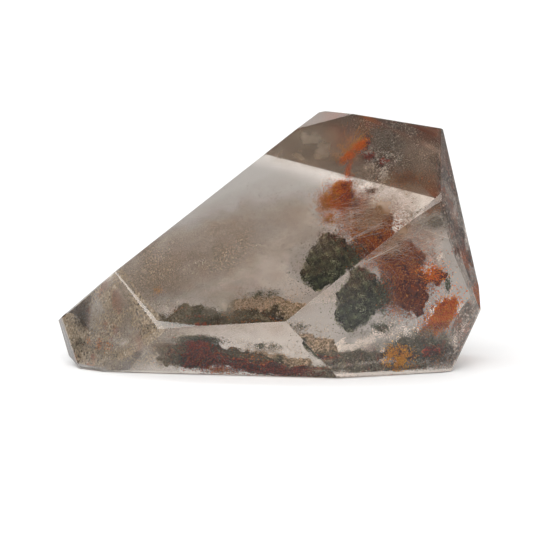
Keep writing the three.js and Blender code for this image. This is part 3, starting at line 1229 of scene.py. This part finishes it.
LOOSE = (
    Growth("dust_scatter", "mixed_sediment", 75, DUST, (
        Cloud((-22, 2, 11), (6, 7, 4.5), 2500, (0.06, 0.18), 0.6),
        Cloud((-26, -6, 3.4), (6, 4, 2.6), 2000, (0.06, 0.16), 0.4, (0.3, 1)),
        Cloud((-36, -1, 6.5), (2.4, 5, 4), 2600, (0.1, 0.3), 0.5, (0, 0.2)),
        Cloud((-31, 0, 2.4), (7, 7, 2.2), 3500, (0.08, 0.2), 0.5, (0, 0.6)),
        Cloud((36.4, -1, 31), (1, 4, 10), 1500, (0.1, 0.28), 0.7, (0, 0.4)),
        Cloud((-29, 0, 8), (13, 7, 11), 6500, (0.06, 0.22), 0.4, (0.1, 0.9)),
        Cloud((-8, 2, 20), (20, 7, 9), 3500, (0.08, 0.19), 0.7, (0, 0.4), lean=-25),
        Cloud((2, 2, 31), (14, 8, 5), 300, (0.12, 0.26), 0.6, (0, 0.3)),
        Cloud((-20, -9, 4), (5, 3, 3), 1200, (0.06, 0.18), 0.4, (0.3, 1)))),
    Growth("bed_scatter", "mixed_sediment", 77, BED, (
        Cloud((0, 4, 7.4), (9, 5, 2.6), 2200, (0.1, 0.3), 0.6, (0.75, 1)),
        Cloud((-17.6, -9, 3), (0.9, 2.2, 2.8), 700, (0.12, 0.3), 0.4, (0.6, 0.85)),
        Cloud((13, -6, 2.4), (9, 3, 1.4), 1500, (0.12, 0.3), 0.7, (0.5, 1)),
        Cloud((25, -9, 1.2), (11, 3, 0.9), 2600, (0.12, 0.36), 0.4, (0.4, 0.8)),
        Cloud((14, -9, 1), (9, 3, 0.7), 1400, (0.12, 0.36), 0.4, (0.5, 0.9)),
        Cloud((-9, -8.5, 2.4), (9, 3, 2.2), 2600, (0.12, 0.36), 0.4, (0, 0.24)),
        Cloud((-12.6, -9.4, 5.6), (4.6, 1, 1.8), 1300, (0.12, 0.36), 0.5, (0, 0.2)),
        Cloud((5.6, 6, 2.4), (1.8, 2.5, 1.4), 700, (0.2, 0.5), tint=(0.5, 0.8)),
        Cloud((-13.6, -9.6, 6.7), (2.6, 0.8, 1.1), 600, (0.12, 0.36), 0.6, (0.08, 0.27)),
        Cloud((-9.2, -10.2, 1.3), (2.4, 0.8, 0.8), 260, (0.16, 0.4), 0.3, (0.3, 0.4)),
        Cloud((3, -8.5, 1.6), (9, 2.6, 1.4), 2400, (0.12, 0.36), 0.4, (0, 0.24)),
        Cloud((-12, -9, 4.8), (4, 1.2, 1.1), 500, (0.12, 0.36), 0.7, (0.1, 0.3)),
        Cloud((-13, -7.6, 8), (2.6, 1, 1), 170, (0.12, 0.36), 0.7, (0.12, 0.28)),
        Cloud((-19.4, -4.5, 6.2), (2.6, 4, 2.2), 1500, (0.12, 0.36), 0.5, (0.45, 0.75)),
        Cloud((-12.5, -6.2, 8.4), (4.6, 2.4, 0.9), 900, (0.12, 0.36), 0.4, (0.55, 0.8)),
        Cloud((28, -4, 7.2), (8, 4, 1.6), 1300, (0.12, 0.3), 0.7, (0.5, 0.9)),
        Cloud((31.5, -7, 28.9), (5, 2, 1.7), 2400, (0.08, 0.25), 0.5, (0.5, 0.8)),
        Cloud((33, -6.4, 2.2), (4, 2, 1.8), 1500, (0.1, 0.3), 0.4, (0.4, 0.62)),
        Cloud((36.4, -4, 8.5), (0.5, 0.5, 1.8), 60, (0.2, 0.4), tint=(0.5, 0.6)))),
    Growth("green_sprigs", "green_chlorite", 81, MOSS, (
        Cloud((19.3, 8.8, 14.4), (2.6, 1.8, 3.6), 2600, (0.14, 0.4), 0.5, (0.1, 0.7)),
        Cloud((-12.8, -5.4, 8.4), (5, 2.2, 1), 1500, (0.14, 0.4), 0.5, (0, 0.4)),
        Cloud((-13.4, -9.4, 8.3), (3.4, 1.2, 0.6), 500, (0.14, 0.4), 0.4, (0, 0.4)),
        Cloud((1, 3.6, 8.6), (3, 2, 0.8), 350, (0.12, 0.34), 0.9, (0.1, 0.6)),
        Cloud((33.5, 0, 16.3), (0.7, 0.7, 1.7), 150, (0.2, 0.45), tint=(0.1, 0.4)),
        Cloud((14.5, 9, 13.5), (6.5, 5, 7.5), 1800, (0.1, 0.3), 0.9, clump_size=1.8),
        Cloud((14.6, 9, 13), (8, 5.4, 8.6), 1700, (0.14, 0.4), 1, (0.1, 0.6), clump_size=1.4, spread=0.38),
        Cloud((-24, 3, 9), (3.5, 4, 3.5), 260, (0.1, 0.3), 0.6, (0.3, 0.9)),
        Cloud((18.6, 8, 7.6), (2, 1.2, 1), 450, (0.14, 0.4), 0.8, (0.1, 0.5), clump_size=1))),
    Growth("yellow_patch", "orange_oxide", 85, OCHRE, (
        Cloud((24.7, -10.6, 2.9), (3, 0.8, 2.8), 1500, (0.12, 0.4), 0.7, clump_size=1.6),
        Cloud((13, 12.4, 26.2), (2.2, 1.6, 2.6), 2000, (0.08, 0.28), 0.7, clump_size=1.2),
        Cloud((14.2, 12, 22.2), (2.4, 1.4, 1.4), 700, (0.08, 0.28), 0.8, clump_size=1.2),
        Cloud((17.4, 9, 40.2), (0.9, 0.8, 4), 500, (0.08, 0.24), 0.8, lean=42, clump_size=1.2),
        Cloud((15.4, 9, 40), (2.4, 1.2, 3.4), 700, (0.05, 0.15), 0.8, lean=35, clump_size=1.6),
        Cloud((-20.4, 0, 12.4), (1.4, 1.4, 1.1), 160, (0.1, 0.3), 0.4))),
    Growth("red_specks", "rust_brown_oxide", 89, BLOOD, (
        Cloud((20.8, 9, 38), (1.4, 0.8, 1.2), 200, (0.2, 0.45), 0.9, clump_size=1),
        Cloud((23.6, 9, 36.2), (1, 0.8, 0.9), 200, (0.2, 0.45), 0.9, clump_size=1),
        Cloud((20, 8.5, 40.8), (0.6, 0.5, 0.9), 80, (0.2, 0.4), 0.9, clump_size=1),
        Cloud((22.4, 16, 26.9), (1.7, 0.5, 0.7), 160, (0.15, 0.4)),
        Cloud((35.5, -2, 23.2), (0.7, 0.7, 0.9), 70, (0.2, 0.5)),
        Cloud((-29.5, 0, 4.5), (3, 3, 2), 260, (0.1, 0.35), 0.5))),
    Growth("rust_scatter", "rust_brown_oxide", 91, RUST, (
        Cloud((-34.5, -3, 5.4), (1.5, 1.2, 1.4), 130, (0.08, 0.26), 0.8, (0.3, 0.9)),
        Cloud((-32.4, -5, 4.8), (1.6, 1.3, 1.6), 200, (0.08, 0.26), 0.8, (0.3, 0.9)),
        Cloud((-30.4, -6.8, 4.4), (1.4, 1.2, 1.2), 110, (0.08, 0.26), 0.8, (0.3, 0.9)),
        Cloud((28.2, 11, 31.2), (4.2, 1, 1.9), 2800, (0.1, 0.3), 0.5, lean=6),
        Cloud((18.6, 14.6, 24.2), (3.2, 2, 1.8), 1500, (0.1, 0.3), 0.7, (0, 0.4)),
        Cloud((24.8, 10.5, 17.4), (6.5, 4, 7), 3600, (0.1, 0.4), 0.7, (0.1, 0.8)),
        Cloud((22.6, 7.4, 19.4), (5.6, 1.6, 3.4), 2600, (0.12, 0.42), 0.6, (0.3, 0.9), lean=24),
        Cloud((24.4, 7, 13.6), (3.6, 1.6, 4.4), 1600, (0.12, 0.42), 0.6, (0, 0.6)),
        Cloud((22.2, 7.4, 13.2), (2.6, 1.6, 3.6), 1800, (0.1, 0.3), 0.6, (0.1, 0.8)),
        Cloud((19, 13.5, 26), (5, 3, 3.4), 1000, (0.08, 0.25), 0.7, (0.4, 0.9)),
        Cloud((21, 9.6, 17), (2.6, 2.4, 4), 1800, (0.1, 0.34), 0.6),
        Cloud((19, 9.4, 21.4), (4.4, 2.2, 3), 1800, (0.08, 0.3), 0.6, (0.3, 0.9)),
        Cloud((21.5, 10.5, 22.6), (5.6, 2.6, 3.6), 2600, (0.08, 0.3), 0.6, (0.3, 0.9)))),
    Growth("flame_scatter", "orange_oxide", 95, FLAME, (
        Cloud((31, 8.2, 9.8), (2.6, 0.9, 5), 1500, (0.14, 0.42), 0.8, (0.3, 0.9), lean=38, clump_size=1.4),
        Cloud((31.2, 10.4, 9.4), (3.2, 2, 6), 1500, (0.12, 0.45), 0.9, lean=38, clump_size=1.4),
        Cloud((29.8, 4, 18.6), (3, 1.6, 2), 700, (0.12, 0.4), 0.7),
        Cloud((16, 15, 26), (4.6, 2.6, 4.4), 1500, (0.08, 0.3), 0.9, clump_size=1.6),
        Cloud((15, 11.6, 25.6), (3.6, 1.4, 4.2), 2200, (0.1, 0.3), 0.8, (0, 0.7), lean=-30, clump_size=1.8),
        Cloud((17.5, 8.4, 39.4), (1, 0.6, 3.1), 2400, (0.1, 0.3), 0.4, (0, 0.7), lean=45),
        Cloud((16.8, 10, 34.8), (0.6, 0.6, 2.6), 500, (0.1, 0.3), lean=10, tint=(0, 0.6)),
        Cloud((27.8, 10.4, 6.8), (1.6, 1.2, 1.5), 400, (0.12, 0.4), 0.7, clump_size=1.2),
        Cloud((17.6, 17, 28.6), (1.6, 1.3, 2.6), 1200, (0.1, 0.3), 0.6, clump_size=1.4))),
    Growth("white_sparks", "clear_quartz", 83, SPARK, (
        Cloud((-12.6, -4.6, 20), (1.8, 0.8, 1), 40, (0.2, 0.45), 0.5, shape=PLATE),
        Cloud((-1.2, -5.6, 23.2), (0.9, 0.8, 0.6), 12, (0.2, 0.4), shape=PLATE),
        Cloud((-18.9, -2, 9.5), (2.6, 2, 1.3), 120, (0.2, 0.5), 0.6, shape=PLATE),
        Cloud((-12.5, 2, 16), (6, 3, 1.5), 90, (0.12, 0.35), 0.6, shape=PLATE),
        Cloud((29.7, -3, 19.9), (1.8, 1.5, 1.4), 60, (0.2, 0.5), 0.5, shape=PLATE),
        Cloud((23.4, 8, 36.4), (3.6, 1, 3.8), 500, (0.08, 0.3), 0.7, shape=PLATE, clump_size=1.2),
        Cloud((23.6, 7, 33.6), (1.1, 0.9, 1.9), 200, (0.2, 0.5), shape=PLATE),
        Cloud((20.6, 10, 29.4), (2.8, 2, 1.6), 110, (0.15, 0.4), 0.5, shape=PLATE),
        Cloud((0, 2, 8), (8, 5, 2.2), 160, (0.12, 0.35), 0.6, shape=PLATE),
        Cloud((-28, 1, 6), (7, 6, 4), 200, (0.12, 0.35), 0.6, shape=PLATE))),
    Growth("pale_silk", "clear_quartz", 101, SPARK, (
        Strands((18, 5, 24.6), (6, 2, 4), 230, (2, 7), (-16, 28), curl=40),
        Strands((20, 4, 22.6), (5, 1.5, 2.4), 80, (2, 5), (10, 50), curl=40),
        Strands((26.4, -2, 10.5), (1.4, 0.8, 1.6), 8, (3, 5), (250, 300), stoutness=1.6),
        Strands((16.8, 0, 21.4), (0.2, 0.5, 0.1), 5, (6.5, 7.5), (22, 30), curl=6, stoutness=1.5),
        Strands((-18.5, -3, 9), (2, 1, 1), 10, (1.5, 3.5), (20, 160), stoutness=1.8),
        Strands((-31.6, -5.2, 4.2), (2.6, 2.4, 1.8), 60, (1, 3.5), (20, 70), curl=20),
        Strands((-4.4, 3, 4.8), (0.5, 0.4, 0.4), 4, (2, 3), (25, 40), curl=8))),
    Growth("brown_silk", "rust_brown_oxide", 103, RUST, (
        Strands((18.5, 7, 23.5), (6, 2.5, 4), 300, (1.5, 6), (-20, 28), curl=40),
        Strands((36, -1, 26), (1, 3, 8), 90, (2, 5), (80, 110), curl=15),
        Strands((16.5, 15, 26), (4, 2.5, 3), 170, (1.5, 5.5), (-25, 30), curl=30))),
    Growth("orange_wisps", "orange_oxide", 107, ORANGE, (
        Strands((14.6, 15, 24.6), (2.6, 1.8, 3), 240, (1.5, 4), (40, 120), curl=30),
        Strands((13.6, 11.6, 23.4), (2.2, 1.2, 2.4), 180, (1.5, 4), (30, 100), curl=30, tint=(0.5, 1)),
        Strands((16.4, 9, 39.4), (1.6, 1, 3), 140, (1.5, 4), (40, 80), curl=30),
        Strands((19, 14.8, 24.6), (2.6, 1.8, 1.6), 90, (1.5, 4), (-30, 40), curl=40))),
    Growth("brown_haze", "mixed_sediment", 111,
        VeilFinish("brown_haze", (192, 152, 110), (134, 100, 68), patch_size=5), (
        Veil((-18, 2, 13), 26, 13, lean=24, facing=(0, 15)),
        Veil((-26, 5, 7.2), 24, 12, lean=14, facing=(0, 5)),
        Veil((26.4, 4, 28), 20, 18, lean=-10, strength=1.4, facing=(0, 15)))),
    Growth("broad_haze", "mixed_sediment", 131,
        VeilFinish("broad_haze", (172, 140, 102), (126, 96, 64), cover=0.55, patch_size=11, grain_size=4,
            patch_span=(0, 0.8)), (
        Veil((-7, 4, 18.2), 50, 21, lean=14, strength=1.15, facing=(0, 15)),
        Veil((-12, 9, 18.5), 48, 18, lean=24, facing=(0, 15)),
        Veil((16, 9.5, 39.4), 38, 12, lean=-16, strength=0.6),
        Veil((28, 2, 30), 18, 12, strength=1.4, facing=(0, 15)))),
    Growth("grey_haze", "mixed_sediment", 137,
        VeilFinish("grey_haze", (190, 178, 160), (154, 140, 122), cover=0.6, patch_size=6, grain_size=4,
            patch_span=(0.1, 0.6)), (
        Veil((7, 9, 41), 24, 12, lean=-16),
        Veil((-9.3, -14.2, 13.6), 6.5, 6, wave=0.2, strength=1.2, facing=MAIN_FACE))),
    Growth("smoke_haze", "mixed_sediment", 141,
        VeilFinish("smoke_haze", (96, 80, 66), (50, 42, 38), cover=0.8, patch_size=4,
            patch_span=(0.1, 0.6)), (
        Veil((-38.7, 1.9, 8.6), 12, 17, strength=1.6, facing=LEFT_FACE),
        Veil((-31, -4.4, 2.2), 28, 6, facing=LEFT_FACE))),
    Growth("speckled_films", "mixed_sediment", 161,
        SpeckleFinish("speckled_films",
            ((0.33, 84, 72, 56), (0.42, 158, 138, 112), (0.6, 196, 176, 148), (0.7, 240, 228, 208)),
            (176, 98, 56), cover=0.72, speck_size=0.4, rust_span=(0.57, 0.68)), (
        Veil((-31.3, -4, 9.8), 52, 34, wave=0.4, facing=LEFT_FACE),
        Veil((-27, -9.2, 3.4), 20, 14, wave=0.4, strength=0.8, facing=UNDER_FACE),
        Veil((-17, -7, 14), 34, 22, lean=20, wave=0.5, strength=0.5, facing=MAIN_FACE))),
    Growth("slope_film", "mixed_sediment", 165,
        SpeckleFinish("slope_film",
            ((0.34, 86, 70, 50), (0.43, 148, 124, 98), (0.58, 166, 142, 116), (0.7, 244, 234, 216)),
            (170, 110, 66), cover=0.5, speck_size=0.28, patch_size=11, rust_span=(0.62, 0.75)), (
        Veil((-11.8, -5, 22.3), 50, 17, lean=22, wave=0.4, facing=MAIN_FACE),)),
    Growth("band_film", "mixed_sediment", 167,
        SpeckleFinish("band_film",
            ((0.36, 56, 50, 42), (0.45, 98, 88, 76), (0.58, 114, 102, 88), (0.7, 216, 208, 196)),
            (120, 66, 36), cover=0.92, speck_size=0.26, patch_size=6, rust_span=(0.6, 0.72)), (
        Veil((26, 10.5, 37.6), 30, 16, lean=-16, wave=0.6),
        Veil((29.5, 7, 43), 20, 9, lean=-8, wave=0.4, strength=0.9))),
    Growth("strip_films", "mixed_sediment", 169,
        SpeckleFinish("strip_films",
            ((0.36, 50, 40, 34), (0.47, 98, 80, 68), (0.58, 134, 114, 100), (0.7, 220, 208, 198)),
            (140, 74, 40), cover=0.85, speck_size=0.6, patch_size=4), (
        Veil((35.9, -4.7, 27.7), 14, 38, wave=0.3, facing=RIGHT_STRIP),
        Veil((37.6, -6.4, 7.6), 14, 20, wave=0.3, facing=LOW_STRIP))),
    Growth("bed_film", "mixed_sediment", 171,
        SpeckleFinish("bed_film",
            ((0.36, 44, 42, 30), (0.47, 84, 80, 60), (0.6, 116, 106, 82), (0.74, 216, 202, 178)),
            (110, 56, 34), cover=0.95, speck_size=0.4, patch_size=3), (
        Veil((25.6, -8.4, 3.4), 42, 8.8, lean=13, wave=0.3, facing=RIGHT_FACE),
        Veil((20, -10.4, 7.4), 17, 7, lean=13, wave=0.3, strength=0.4, facing=RIGHT_FACE))),
    Growth("pale_crackle", "clear_quartz", 151,
        VeilFinish("pale_crackle", (236, 226, 212), (180, 166, 150), cover=0.7, patch_size=1.5,
            patch_span=(0.42, 0.66)), (
        Veil((22.8, 8.5, 36.4), 10, 11, wave=0.5), Veil((21.4, 9.5, 30), 8, 6, wave=0.5))),
    Growth("rusty_haze", "rust_brown_oxide", 121,
        VeilFinish("rusty_haze", (196, 104, 40), (120, 54, 22), cover=0.8, patch_size=2.6), (
        Veil((21, 8, 23.5), 20, 14, lean=-10, facing=(0, 10)), Veil((24.5, 8, 16), 18, 18, lean=20),
        Veil((18.5, 14, 26), 14, 12, lean=-10, facing=(0, 10)))),
)


def main() -> None:
    """Builds the studio, the stone and its garden."""
    logging.basicConfig(level=logging.INFO, format="%(name)s %(message)s")
    Studio().build()
    stone = ClearStone()
    stone.build()
    for inclusion in INCLUSIONS:
        inclusion.build()
    for growth in LOOSE:
        growth.build(stone)


if __name__ == "__main__":
    main()
